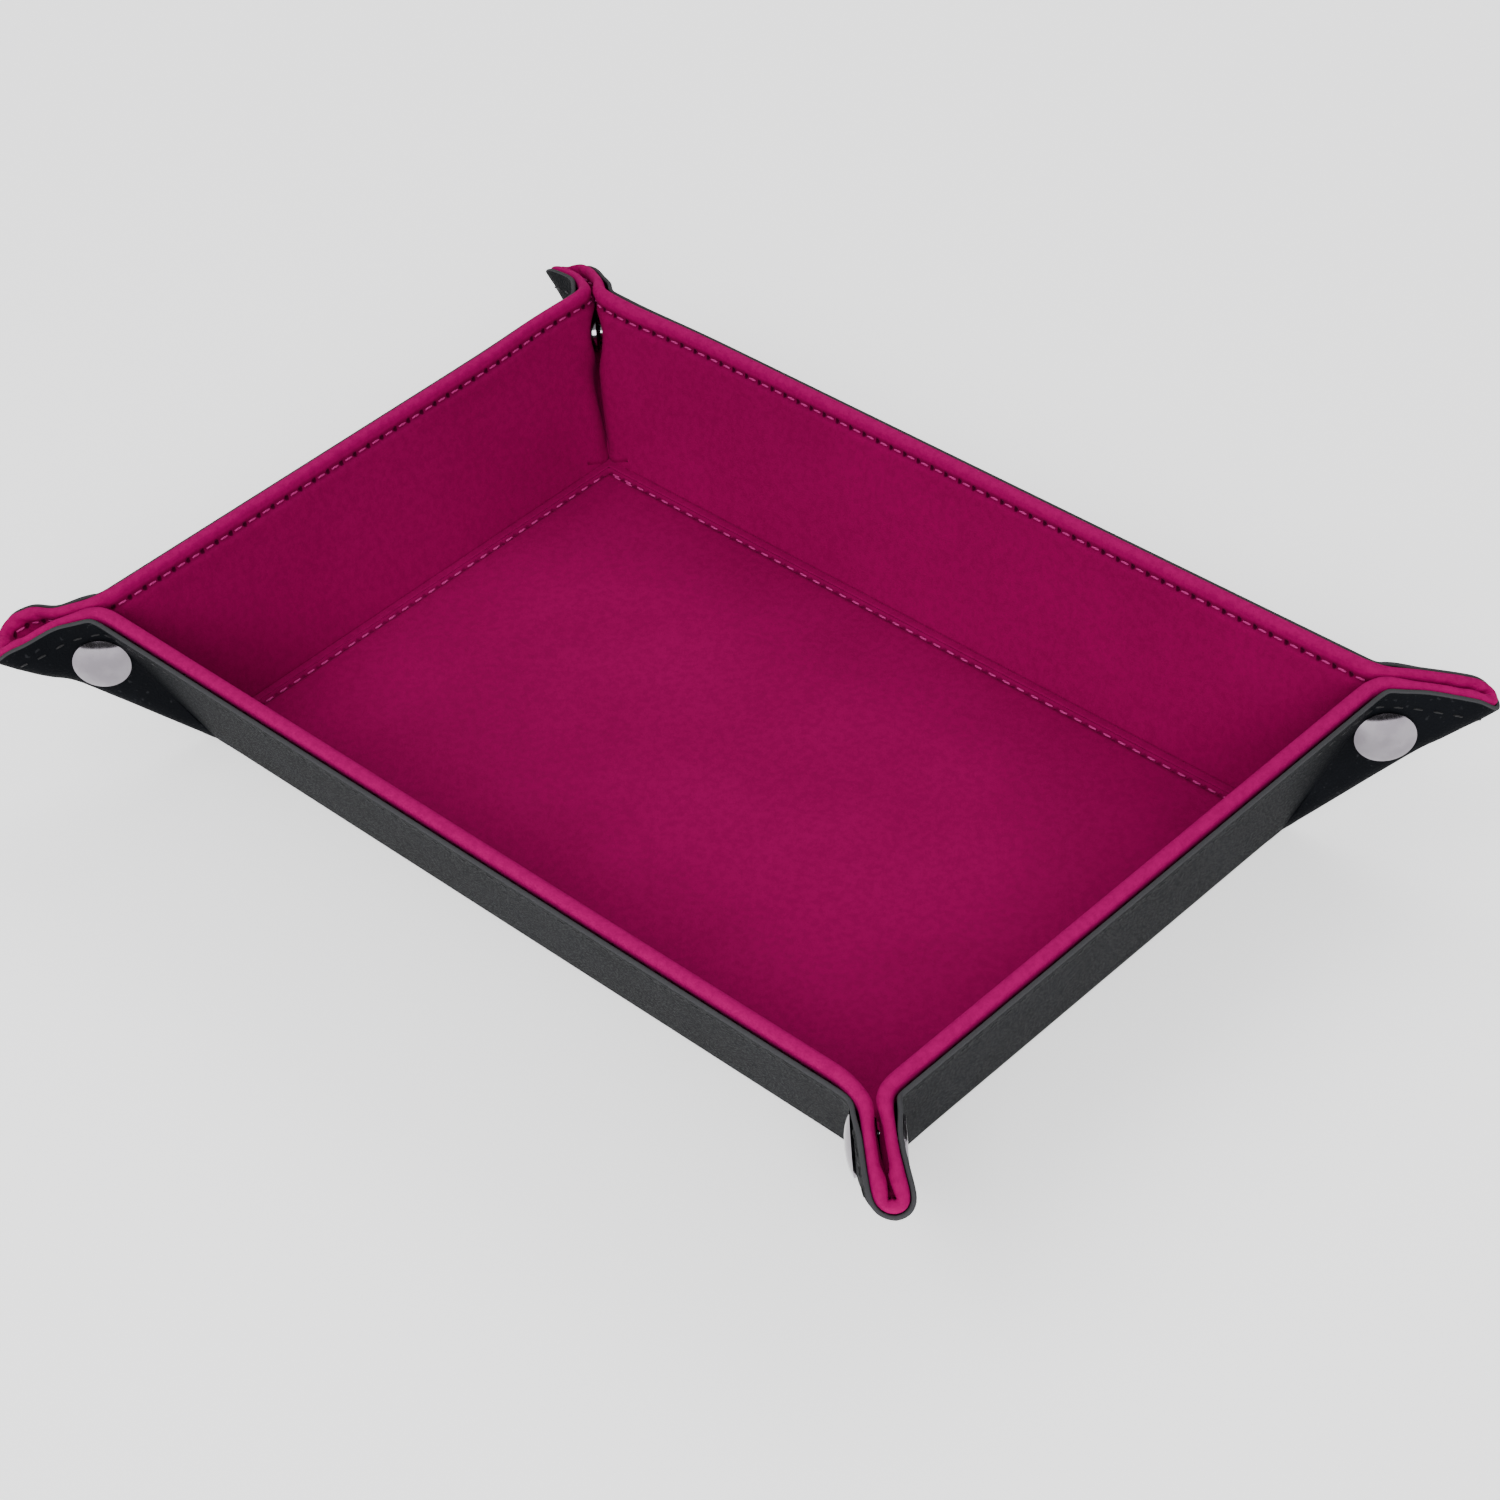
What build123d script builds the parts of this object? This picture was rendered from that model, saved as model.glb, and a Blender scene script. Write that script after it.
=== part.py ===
"""Snap-corner folding dice tray.

A padded sheet - outer leather cover, five stiff boards, velvet liner on soft foam - is creased
round a rectangular base.  Each corner of the sheet is pinched outward into an ear and held by a
four-piece snap, which raises the four walls at a slant.  Unsnapped, the whole sheet lies flat.

Millimetres, +Z up.  X runs along the long side, Y along the short side, origin in the middle of
the underside.  "front" is the -Y side.
"""
from build123d import *
from math import acos, cos, pi, radians, sin, sqrt, tan
import os

# ---------------------------------------------------------------- driving dimensions
CREASE_LENGTH = 198.0        # between the two short creases, at the middle of the sheet
CREASE_WIDTH = 121.0         # between the two long creases
WALL_SLANT = 38.3            # crease to rim, measured up the wall
FLARE = 22.5                 # lean of the walls from the vertical, snapped up
COVER_T = 0.8                # leather
BOARD_T = 1.2                # stiffener board
LINER_T = 2.2                # foam-backed velvet
HINGE_H = 2.0                # bend line of the sheet above its leather face
VELVET_GAP = 0.15            # each ear half to the corner's mirror plane
CORNER_R = 7.0               # rounding of the sheet's four corners

COVER_CREASE_GAP = 0.3       # crease line to the edge of a panel, on the base and wall sides
INNER_CREASE_GAP = 1.7       # the same for boards and liner, which meet at the inside of the bend
BOARD_INSET = 6.5            # board edge to the rim, inside the turned and stitched margin
COVER_EAR_GAP = 1.1          # ear fold line to the ear's leather
COVER_WALL_GAP = 2.2         # ear fold line to the wall's leather
LINER_EAR_GAP = 0.8          # ear fold line to the liner, on both sides
STRIP_IN = 0.8               # width of a tip strip on the ear side of its pivot
EAR_STRIP_GAP = 0.3          # ear leather to tip strip
EAR_LINER_GAP = 1.4          # ear liner to tip strip, so that the strip can turn inside
TIP_GAP = 0.3                # tip strip to the diagonal, where the two halves meet
EAR_START = 7.0              # the ear pieces stop this far from the base corner

SNAP_ALONG = 31.4            # snap centre, along the ear's fold line
SNAP_OUT = 6.8               # snap centre, out from the ear's fold line
CAP_R = 6.25
CAP_RIM_T = 0.6
CAP_DOME_T = 1.9
POST_R = 1.6
POST_HOLE_R = 1.8
POST_FLARE_R = 2.5
POST_FLARE_T = 0.3
SOCKET_R = 4.9
SOCKET_T = 2.2
SNAP_FLANGE_T = 0.6          # floor of the socket, and flange of the stud
SOCKET_CAVITY_R = 3.1
STUD_FLANGE_R = 4.7
STUD_NECK_R = 2.1
STUD_HEAD_R = 2.4
STUD_REACH = 1.1             # how far the stud's head passes the corner's mirror plane
BACK_R = 4.9
BACK_T = 0.8
BACK_HOLE_R = 0.9
POCKET_R = 5.5               # the snap presses the velvet down to the bend line over this radius

STITCH_PITCH = 4.0
STITCH_L = 2.4
STITCH_W = 0.7
STITCH_T = 0.25
RIM_STITCH_INSET = 2.6       # rim to the stitch row
BASE_STITCH_INSET = 4.6      # crease to the stitched rectangle of the base

# ---------------------------------------------------------------- worked-out sizes
SHEET_T = COVER_T + BOARD_T + LINER_T
VELVET_W = SHEET_T - HINGE_H                 # velvet face, measured from the bend line
LEATHER_W = -HINGE_H                         # leather face
BOARD_W = LEATHER_W + COVER_T                # underside of the board
LINER_W = BOARD_W + BOARD_T                  # underside of the wall liner
MIRROR_W = VELVET_W + VELVET_GAP             # bend line of an ear half to the mirror plane

LEAN = radians(FLARE)
EAR_LEAN = acos(1 / (cos(LEAN) * sqrt(1 + 2 * tan(LEAN) ** 2)))     # fold line from the wall's end
EAR_FOLD = acos(cos(LEAN) / sqrt(2))                     # turn of an ear half
FOLD_BACK = MIRROR_W / sin(EAR_FOLD) / cos(EAR_LEAN)     # fold line's start, back from the corner
TIP_REACH = WALL_SLANT * sqrt(2) - CORNER_R * (sqrt(2) - 1)     # base corner to rounded tip, laid flat
PIVOT_OUT = pi / 4 * MIRROR_W                            # strip pivot from the diagonal, laid flat
PIVOT_W = (1 - pi / 4) * MIRROR_W                        # and above the bend line


class Wall:
    """A wall's own axes: u along its crease, v up the wall, w towards the velvet."""

    def __init__(self, name, out, half_length, reach):
        self.name = name
        self.half_length = half_length
        self.out = Vector(*out)
        self.up = self.out * sin(LEAN) + Vector(0, 0, cos(LEAN))
        self.normal = Vector(0, 0, sin(LEAN)) - self.out * cos(LEAN)
        self.along = self.up.cross(self.normal)
        self.origin = self.out * reach + Vector(0, 0, HINGE_H)

    def plane(self, w=0.0, v=0.0):
        return Plane(self.origin + self.normal * w + self.up * v, self.along, self.normal)

    def end(self, v, gap=0.0):
        """Half the wall's length at height v, a gap short of the ears' fold lines."""
        return self.half_length - FOLD_BACK + v * tan(EAR_LEAN) - gap / cos(EAR_LEAN)


class Ear:
    """One half of an ear: p along the fold line from the crease up, s out from it, w to the velvet.

    side is +1 at the wall's +u end and -1 at its other end.
    """

    def __init__(self, wall, side, corner):
        self.wall = wall
        self.side = side
        self.name = f"{corner}_{'long' if wall in (front, back) else 'short'}"
        outward = wall.along * side
        self.start = wall.origin + outward * wall.end(0)
        self.line = outward * sin(EAR_LEAN) + wall.up * cos(EAR_LEAN)
        flat_out = outward * cos(EAR_LEAN) - wall.up * sin(EAR_LEAN)
        self.out = flat_out * cos(EAR_FOLD) - wall.normal * sin(EAR_FOLD)
        self.normal = flat_out * sin(EAR_FOLD) + wall.normal * cos(EAR_FOLD)
        self.snap_centre = self.start + self.line * SNAP_ALONG + self.out * SNAP_OUT
        self.snap_axis = Axis(self.snap_centre, self.normal)

    def plane(self, w=0.0):
        """Sketch axes: X is s for side +1 and -s for side -1, Y is p."""
        return Plane(self.start + self.normal * w, self.out * self.side, self.normal)

    def snap_section(self):
        """Sketch axes for turning a snap piece: X is its radius, Y is w."""
        return Plane(self.snap_centre, self.out, self.out.cross(self.normal))

    def tip_axis(self):
        """Pivot of the tip strip, beside the sheet's diagonal and above the bend line."""
        s, p = beside_diagonal(EAR_START, PIVOT_OUT)
        turn = pi / 4 - EAR_LEAN
        point = self.start + self.out * s + self.line * p + self.normal * PIVOT_W
        return Axis(point, self.line * cos(turn) + self.out * sin(turn))


def from_corner(x, y):
    """Flat sheet position from the base corner (x along the crease, y outward) as an ear's (s, p)."""
    dx = x + FOLD_BACK
    return dx * cos(EAR_LEAN) - y * sin(EAR_LEAN), dx * sin(EAR_LEAN) + y * cos(EAR_LEAN)


def beside_diagonal(reach, gap):
    """The (s, p) of a point this far out along the sheet's diagonal, and a gap short of it."""
    return from_corner((reach - gap) / sqrt(2), (reach + gap) / sqrt(2))


front = Wall("front", (0, -1, 0), CREASE_LENGTH / 2, CREASE_WIDTH / 2)
right = Wall("right", (1, 0, 0), CREASE_WIDTH / 2, CREASE_LENGTH / 2)
back = Wall("back", (0, 1, 0), CREASE_LENGTH / 2, CREASE_WIDTH / 2)
left = Wall("left", (-1, 0, 0), CREASE_WIDTH / 2, CREASE_LENGTH / 2)
walls = [front, right, back, left]

# The half with the cap comes first.  Every cap looks to the front.
corners = {
    "front_left": (Ear(front, 1, "front_left"), Ear(left, -1, "front_left")),
    "front_right": (Ear(front, -1, "front_right"), Ear(right, 1, "front_right")),
    "back_right": (Ear(right, -1, "back_right"), Ear(back, 1, "back_right")),
    "back_left": (Ear(left, 1, "back_left"), Ear(back, -1, "back_left")),
}

os.makedirs("parts", exist_ok=True)


def save(part, name):
    part.label = name
    export_step(part, f"parts/{name}.step")


def slab(plane, outline, thickness):
    """A closed polygon on a plane, made into a plate."""
    with BuildPart() as plate:
        with BuildSketch(plane):
            with BuildLine():
                Polyline(*outline, close=True)
            make_face()
        extrude(amount=thickness)
    return plate.part


# ---------------------------------------------------------------- base
def base_panel(z, thickness, gap, corner_r):
    with BuildPart() as panel:
        with BuildSketch(Plane.XY.offset(z)):
            RectangleRounded(CREASE_LENGTH - 2 * gap, CREASE_WIDTH - 2 * gap, corner_r)
        extrude(amount=thickness)
    return panel.part


save(base_panel(0, COVER_T, COVER_CREASE_GAP, 2.0), "base_cover")
save(base_panel(COVER_T, BOARD_T, INNER_CREASE_GAP, 3.0), "base_board")
save(base_panel(COVER_T + BOARD_T, LINER_T, INNER_CREASE_GAP, 2.0), "base_liner")


# ---------------------------------------------------------------- walls
def wall_panel(wall, w, thickness, crease_gap, fold_gap, inset=0.0):
    """A trapezoid between the crease, the two ear fold lines and the rim."""
    top = WALL_SLANT - inset
    low_end = wall.end(crease_gap, fold_gap + inset)
    top_end = wall.end(top, fold_gap + inset)
    outline = [(-low_end, crease_gap), (low_end, crease_gap), (top_end, top), (-top_end, top)]
    return slab(wall.plane(w), outline, thickness)


for wall in walls:
    save(wall_panel(wall, LEATHER_W, COVER_T, COVER_CREASE_GAP, COVER_WALL_GAP), f"{wall.name}_cover")
    save(wall_panel(wall, BOARD_W, BOARD_T, INNER_CREASE_GAP, 0.0, BOARD_INSET), f"{wall.name}_board")
    save(wall_panel(wall, LINER_W, LINER_T, INNER_CREASE_GAP, LINER_EAR_GAP), f"{wall.name}_liner")


# ---------------------------------------------------------------- ears and their tip strips
def ear_outline(fold_gap, tip_gap):
    """(s, p) corners of an ear half: fold line low and at the rim, then tip side at the rim and low."""
    back_off = FOLD_BACK - fold_gap / cos(EAR_LEAN)
    low_y = (EAR_START * sqrt(2) + back_off) / (1 + tan(EAR_LEAN))
    return [
        from_corner(EAR_START * sqrt(2) - low_y, low_y),
        from_corner(WALL_SLANT * tan(EAR_LEAN) - back_off, WALL_SLANT),
        from_corner(WALL_SLANT - tip_gap * sqrt(2), WALL_SLANT),
        beside_diagonal(EAR_START, tip_gap),
    ]


def on_side(ear, outline):
    return [(ear.side * s, p) for s, p in outline]


def ear_panel(ear, w, thickness, fold_gap, tip_gap, pocket=False):
    """An ear half with the hole for its snap's post and, in the liner, the hollow for the snap."""
    centre = (ear.side * SNAP_OUT, SNAP_ALONG)
    with BuildPart() as panel:
        with BuildSketch(ear.plane(w)):
            with BuildLine():
                Polyline(*on_side(ear, ear_outline(fold_gap, tip_gap)), close=True)
            make_face()
            with Locations(centre):
                Circle(POST_HOLE_R, mode=Mode.SUBTRACT)
        extrude(amount=thickness)
        if pocket:
            with BuildSketch(ear.plane()):
                with Locations(centre):
                    Circle(POCKET_R)
            extrude(amount=thickness, mode=Mode.SUBTRACT)
    return panel.part


def tip_strip(ear):
    """Cover and liner together beside the diagonal, turned square to the ear to close its tip."""
    inner = PIVOT_OUT + STRIP_IN
    outline = [
        beside_diagonal(EAR_START, inner),
        beside_diagonal(TIP_REACH, inner),
        beside_diagonal(TIP_REACH, TIP_GAP),
        beside_diagonal(EAR_START, TIP_GAP),
    ]
    flat = slab(ear.plane(LEATHER_W), on_side(ear, outline), SHEET_T)
    return flat.rotate(ear.tip_axis(), -90 * ear.side)


cover_tip_gap = PIVOT_OUT + STRIP_IN + EAR_STRIP_GAP
liner_tip_gap = PIVOT_OUT + STRIP_IN + EAR_LINER_GAP
ear_liner_t = BOARD_T + LINER_T

for ear in [ear for pair in corners.values() for ear in pair]:
    save(ear_panel(ear, LEATHER_W, COVER_T, COVER_EAR_GAP, cover_tip_gap), f"{ear.name}_ear_cover")
    save(ear_panel(ear, BOARD_W, ear_liner_t, LINER_EAR_GAP, liner_tip_gap, True), f"{ear.name}_ear_liner")
    save(tip_strip(ear), f"{ear.name}_tip_strip")


# ---------------------------------------------------------------- snaps
def turned(ear, outline):
    """A closed outline of (radius, w) points, turned round the snap's axis."""
    with BuildPart() as piece:
        with BuildSketch(ear.snap_section()):
            with BuildLine():
                Polyline(*outline, close=True)
            make_face()
        revolve(axis=ear.snap_axis)
    return piece.part


def snap_cap(ear):
    """Domed cap on the leather, with the post that goes through and is flared over the socket."""
    rim_w = LEATHER_W - CAP_RIM_T
    crown_w = LEATHER_W - CAP_DOME_T
    shoulder = (CAP_R * 0.62, crown_w + (rim_w - crown_w) * 0.3)
    flare_w = SNAP_FLANGE_T + POST_FLARE_T
    with BuildPart() as cap:
        with BuildSketch(ear.snap_section()):
            with BuildLine():
                ThreePointArc((0, crown_w), shoulder, (CAP_R, rim_w))
                Polyline(
                    (CAP_R, rim_w),
                    (CAP_R - 0.2, LEATHER_W),
                    (POST_R, LEATHER_W),
                    (POST_R, SNAP_FLANGE_T),
                    (POST_FLARE_R, SNAP_FLANGE_T),
                    (POST_FLARE_R, flare_w),
                    (0, flare_w),
                    (0, crown_w),
                )
            make_face()
        revolve(axis=ear.snap_axis)
    return cap.part


def snap_socket(ear):
    return turned(
        ear,
        [
            (POST_HOLE_R, 0),
            (SOCKET_R, 0),
            (SOCKET_R, SOCKET_T - 0.5),
            (SOCKET_R - 0.5, SOCKET_T),
            (SOCKET_CAVITY_R + 0.4, SOCKET_T),
            (SOCKET_CAVITY_R, SOCKET_T - 0.4),
            (SOCKET_CAVITY_R, SNAP_FLANGE_T),
            (POST_HOLE_R, SNAP_FLANGE_T),
        ],
    )


def snap_stud(ear):
    head_w = MIRROR_W + STUD_REACH
    bore_w = SNAP_FLANGE_T + 0.8
    return turned(
        ear,
        [
            (POST_HOLE_R, 0),
            (STUD_FLANGE_R, 0),
            (STUD_FLANGE_R, SNAP_FLANGE_T),
            (STUD_NECK_R + 0.5, SNAP_FLANGE_T + 0.4),
            (STUD_NECK_R, SNAP_FLANGE_T + 1.0),
            (STUD_NECK_R, head_w - 1.3),
            (STUD_HEAD_R, head_w - 0.9),
            (STUD_HEAD_R, head_w - 0.6),
            (STUD_HEAD_R - 0.7, head_w),
            (0, head_w),
            (0, bore_w),
            (POST_HOLE_R, bore_w),
        ],
    )


def snap_back(ear):
    """Ring on the leather behind the stud, with the tube that goes through and into the stud."""
    outer_w = LEATHER_W - BACK_T
    return turned(
        ear,
        [
            (BACK_HOLE_R, outer_w + 0.3),
            (BACK_HOLE_R + 0.6, outer_w),
            (BACK_R - 0.4, outer_w),
            (BACK_R, outer_w + 0.4),
            (BACK_R, LEATHER_W),
            (POST_R, LEATHER_W),
            (POST_R, SNAP_FLANGE_T + 0.5),
            (BACK_HOLE_R, SNAP_FLANGE_T + 0.5),
        ],
    )


for corner, (cap_ear, stud_ear) in corners.items():
    save(snap_cap(cap_ear), f"{corner}_snap_cap")
    save(snap_socket(cap_ear), f"{corner}_snap_socket")
    save(snap_stud(stud_ear), f"{corner}_snap_stud")
    save(snap_back(stud_ear), f"{corner}_snap_back")


# ---------------------------------------------------------------- threads
def stitch_row(plane, length):
    """A row of stitches centred on a plane's origin, along its X."""
    count = int(length / STITCH_PITCH)
    with BuildPart() as row:
        with BuildSketch(plane):
            with GridLocations(STITCH_PITCH, 1, count, 1):
                SlotOverall(STITCH_L, STITCH_W)
        extrude(amount=STITCH_T)
    return row.part


for wall in walls:
    row_v = WALL_SLANT - RIM_STITCH_INSET
    row_length = 2 * wall.end(row_v, LINER_EAR_GAP) - STITCH_PITCH
    save(stitch_row(wall.plane(VELVET_W, row_v), row_length), f"{wall.name}_rim_thread")

with BuildPart() as base_thread:
    stitch_x = CREASE_LENGTH / 2 - BASE_STITCH_INSET
    stitch_y = CREASE_WIDTH / 2 - BASE_STITCH_INSET
    along_x = int(2 * stitch_x / STITCH_PITCH)
    along_y = int(2 * stitch_y / STITCH_PITCH)
    with BuildSketch(Plane.XY.offset(SHEET_T)):
        with GridLocations(STITCH_PITCH, 2 * stitch_y, along_x, 2):
            SlotOverall(STITCH_L, STITCH_W)
        with GridLocations(2 * stitch_x, STITCH_PITCH, 2, along_y - 1):
            SlotOverall(STITCH_L, STITCH_W, rotation=90)
    extrude(amount=STITCH_T)
save(base_thread.part, "base_thread")
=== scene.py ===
# %% [markdown]
# # A folding dice tray
# The tray is one padded sheet: a leather cover outside, five stiff boards, and a velvet liner on
# foam inside. It is creased round a rectangular floor, and each corner is pinched into an ear that
# a four-part snap holds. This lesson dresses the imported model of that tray. The creases and the rim
# are read from the model, and the lean of the walls and the places of the snaps repeat the maker's
# own numbers, so that the sheet, its stitches and its snaps meet.

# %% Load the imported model
import math
from collections import namedtuple
from functools import partial
import bmesh
import bpy
import numpy as np
from mathutils import Matrix, Vector


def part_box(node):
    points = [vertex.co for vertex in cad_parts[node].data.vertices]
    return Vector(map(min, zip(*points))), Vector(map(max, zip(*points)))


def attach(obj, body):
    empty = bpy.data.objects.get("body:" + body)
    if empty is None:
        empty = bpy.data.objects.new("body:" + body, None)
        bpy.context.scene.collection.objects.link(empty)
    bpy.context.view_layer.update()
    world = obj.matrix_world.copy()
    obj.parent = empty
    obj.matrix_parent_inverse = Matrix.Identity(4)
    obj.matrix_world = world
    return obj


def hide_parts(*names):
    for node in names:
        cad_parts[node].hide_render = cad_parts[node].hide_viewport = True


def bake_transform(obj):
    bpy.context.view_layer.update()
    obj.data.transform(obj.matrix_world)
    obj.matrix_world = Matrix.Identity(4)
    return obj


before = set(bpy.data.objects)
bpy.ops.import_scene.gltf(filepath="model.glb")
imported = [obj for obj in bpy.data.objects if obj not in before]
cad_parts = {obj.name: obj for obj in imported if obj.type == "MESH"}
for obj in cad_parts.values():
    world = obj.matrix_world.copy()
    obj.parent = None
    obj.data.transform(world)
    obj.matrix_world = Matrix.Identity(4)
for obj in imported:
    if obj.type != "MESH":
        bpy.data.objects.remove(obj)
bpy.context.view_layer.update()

# %% [markdown]
# ## The camera
# The view comes first, because everything after it is judged through it. The camera stands to the
# front right and well above the tray, with a long lens, so that the far wall looks hardly smaller
# than the near one. It leans a little to one side, so its axes are worked out as three vectors.

# %% Camera
VIEW_ANGLES = (48.36, 40.60, -6.47)
CAMERA_PLACE, CAMERA_LENS = (0.45159, -0.39574, 0.52159), 90.4


def camera_axes(azimuth, elevation, lean):
    back = Vector((math.sin(azimuth) * math.cos(elevation),
                   -math.cos(azimuth) * math.cos(elevation), math.sin(elevation)))
    level = (-back).cross(Vector((0, 0, 1))).normalized()
    upright = level.cross(-back)
    right = level * math.cos(lean) + upright * math.sin(lean)
    return right, upright * math.cos(lean) - level * math.sin(lean), back


camera_data = bpy.data.cameras.new("camera")
camera = bpy.data.objects.new("camera", camera_data)
bpy.context.scene.collection.objects.link(camera)
axes = camera_axes(*(math.radians(angle) for angle in VIEW_ANGLES))
camera.matrix_world = Matrix.Translation(CAMERA_PLACE) @ Matrix(axes).transposed().to_4x4()
camera_data.sensor_width = 36
camera_data.lens = CAMERA_LENS
camera_data.clip_start, camera_data.clip_end = 0.01, 20
bpy.context.scene.camera = camera
print("camera stands", round(camera.location.length, 3), "m from the tray's middle")

# %% [markdown]
# ## Table and light
# One large pale plane is the table. It lies a hair under the leather, so that the two never fight.

# %% Table
bpy.ops.object.select_all(action="DESELECT")
bpy.ops.mesh.primitive_plane_add(size=8, location=(0, 0, 0))
floor = bpy.context.object
floor.name = "table_top"
floor.data.transform(Matrix.Translation((0, 0, -0.0004)))
print("table", floor.name)

# %% [markdown]
# Three soft area lights do the work. The key stands at the front right, on the camera's side. The
# fill is broad and weak, from the front left. A wide strip behind draws the pale line on the turned
# leather edges and on the caps.

# %% Lights
def soft_light(name, place, aim, width, height, power):
    data = bpy.data.lights.new(name, "AREA")
    data.shape, data.size, data.size_y, data.energy = "RECTANGLE", width, height, power
    light = bpy.data.objects.new(name, data)
    bpy.context.scene.collection.objects.link(light)
    light.location = place
    light.rotation_euler = (Vector(aim) - Vector(place)).to_track_quat("-Z", "Y").to_euler()


soft_light("key", (0.85, -0.85, 0.80), (0, 0, 0.02), 0.9, 0.7, 19)
soft_light("fill", (-0.45, -0.70, 1.05), (0, 0, 0.02), 0.9, 0.9, 6)
soft_light("edge", (-0.60, 1.00, 0.85), (0, 0, 0.03), 1.3, 0.4, 8)

# %% [markdown]
# The room is a grey gradient with a dark band over the horizon. Polished nickel shows the room
# itself, so the band is what gives a cap its dark side.

# %% Room
GREY_STEPS = ((0.0, 0.8), (0.05, 0.10), (0.20, 0.12), (0.30, 0.85), (0.75, 1.0))
world = bpy.data.worlds.new("studio")
bpy.context.scene.world = world
world.use_nodes = True
sky = world.node_tree
way = sky.nodes.new("ShaderNodeTexCoord")
height = sky.nodes.new("ShaderNodeSeparateXYZ")
shade = sky.nodes.new("ShaderNodeValToRGB")
while len(shade.color_ramp.elements) < len(GREY_STEPS):
    shade.color_ramp.elements.new(0.5)
for element, (position, grey) in zip(shade.color_ramp.elements, GREY_STEPS):
    element.position, element.color = position, (grey, grey, grey * 1.02, 1)
sky.links.new(way.outputs["Generated"], height.inputs[0])
sky.links.new(height.outputs["Z"], shade.inputs[0])
sky.links.new(shade.outputs[0], sky.nodes["Background"].inputs["Color"])
sky.nodes["Background"].inputs["Strength"].default_value = 0.62
print("steps of grey", len(shade.color_ramp.elements))

# %% [markdown]
# ## Sizes of the sheet
# A folded sheet is easiest to think of flat. The sizes are in millimetres and start at the bend
# line, which lies inside the sheet: 2 mm above the leather face. The creases and the rim are read
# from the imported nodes, and the angles follow from the lean of the walls.

# %% Sheet sizes, in millimetres
MM = 0.001
CREASE_GAP = 0.3
CREASE_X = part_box("base_cover")[1].x / MM + CREASE_GAP
CREASE_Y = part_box("base_cover")[1].y / MM + CREASE_GAP
BEND_Z = 2.0
LEAN = math.radians(22.5)
RIM = round((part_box("front_cover")[1].z / MM - BEND_Z + BEND_Z * math.sin(LEAN)) / math.cos(LEAN), 2)
VELVET_H, LEATHER_H, LEATHER_IN, LINER_UNDER = 2.2, -2.0, -1.2, -0.02
MIRROR_H = 2.35
EAR_LEAN = math.acos(1 / (math.cos(LEAN) * math.sqrt(1 + 2 * math.tan(LEAN) ** 2)))
EAR_FOLD = math.acos(math.cos(LEAN) / math.sqrt(2))
FOLD_BACK = MIRROR_H / math.sin(EAR_FOLD) / math.cos(EAR_LEAN)
ARC = math.pi / 2 * MIRROR_H
SNAP_ALONG, SNAP_OUT = 31.4, 6.8
print("creases", CREASE_X, CREASE_Y, "rim", RIM, "ear lean", round(math.degrees(EAR_LEAN), 2))

# %% [markdown]
# ## From flat to folded
# The corner of the tray folds like a paper box. A flat point is told where it goes by the panel it
# is on: floor, wall, ear, or the narrow loop along the diagonal that closes the ear. The directions
# of those panels come first.

# %% Directions of a corner's panels
A_AXIS, UP = np.array([1.0, 0, 0]), np.array([0, math.sin(LEAN), math.cos(LEAN)])
WALL_N = np.array([0, -math.cos(LEAN), math.sin(LEAN)])
FOLD_LINE = A_AXIS * math.sin(EAR_LEAN) + UP * math.cos(EAR_LEAN)
FLAT_OUT = A_AXIS * math.cos(EAR_LEAN) - UP * math.sin(EAR_LEAN)
EAR_OUT = FLAT_OUT * math.cos(EAR_FOLD) - WALL_N * math.sin(EAR_FOLD)
EAR_N = FLAT_OUT * math.sin(EAR_FOLD) + WALL_N * math.cos(EAR_FOLD)
TURN = math.pi / 4 - EAR_LEAN
TO_TIP = EAR_OUT * math.cos(TURN) - FOLD_LINE * math.sin(TURN)
print("an ear points", EAR_OUT.round(3), "and its tip", TO_TIP.round(3))

# %% [markdown]
# A paper corner has sharp panels. The two halves of an ear mirror each other, so only one half is
# worked out, and the other is swapped.

# %% A corner of paper
def ear_place(a, b):
    """Flat point (a along the crease, b outward) as distance from the fold line and along it."""
    d = a + FOLD_BACK
    return (d * math.cos(EAR_LEAN) - b * math.sin(EAR_LEAN),
            d * math.sin(EAR_LEAN) + b * math.cos(EAR_LEAN))


def ramp(t):
    t = np.clip(t, 0, 1)
    return t * t * (3 - 2 * t)


def paper_corner(x, y, opening):
    """Place and direction of sharp panels for flat points near a corner, and how open its ear is."""
    swap = x > y
    a, b = np.where(swap, y, x), np.where(swap, x, y)
    s, p = ear_place(a, b)
    e = np.maximum(b - a, 0) / math.sqrt(2)
    turn = np.clip((ARC - e) / MIRROR_H, 0, math.pi / 2)
    foot = np.maximum(ARC - e, 0)
    on_base, on_wall = (b <= 0)[..., None], ((b > 0) & (s <= 0))[..., None]
    base = np.stack([a, b, np.zeros_like(a)], -1)
    wall = a[..., None] * A_AXIS + b[..., None] * UP
    ear = (np.array([-FOLD_BACK, 0, 0]) + s[..., None] * EAR_OUT + p[..., None] * FOLD_LINE
           + (MIRROR_H * np.sin(turn) - foot)[..., None] * TO_TIP
           + (MIRROR_H * (1 - np.cos(turn)) - opening(s, p, swap) * np.cos(turn))[..., None] * EAR_N)
    bent = np.cos(turn)[..., None] * EAR_N - np.sin(turn)[..., None] * TO_TIP
    place = np.where(on_base, base, np.where(on_wall, wall, ear))
    facing = np.where(on_base, [0, 0, 1.0], np.where(on_wall, WALL_N, bent))
    flip = swap[..., None]
    return np.where(flip, place[..., [1, 0, 2]], place), np.where(flip, facing[..., [1, 0, 2]], facing)


print("the snap stands", [round(float(v), 1) for v in SNAP_OUT * EAR_OUT + SNAP_ALONG * FOLD_LINE])

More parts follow.
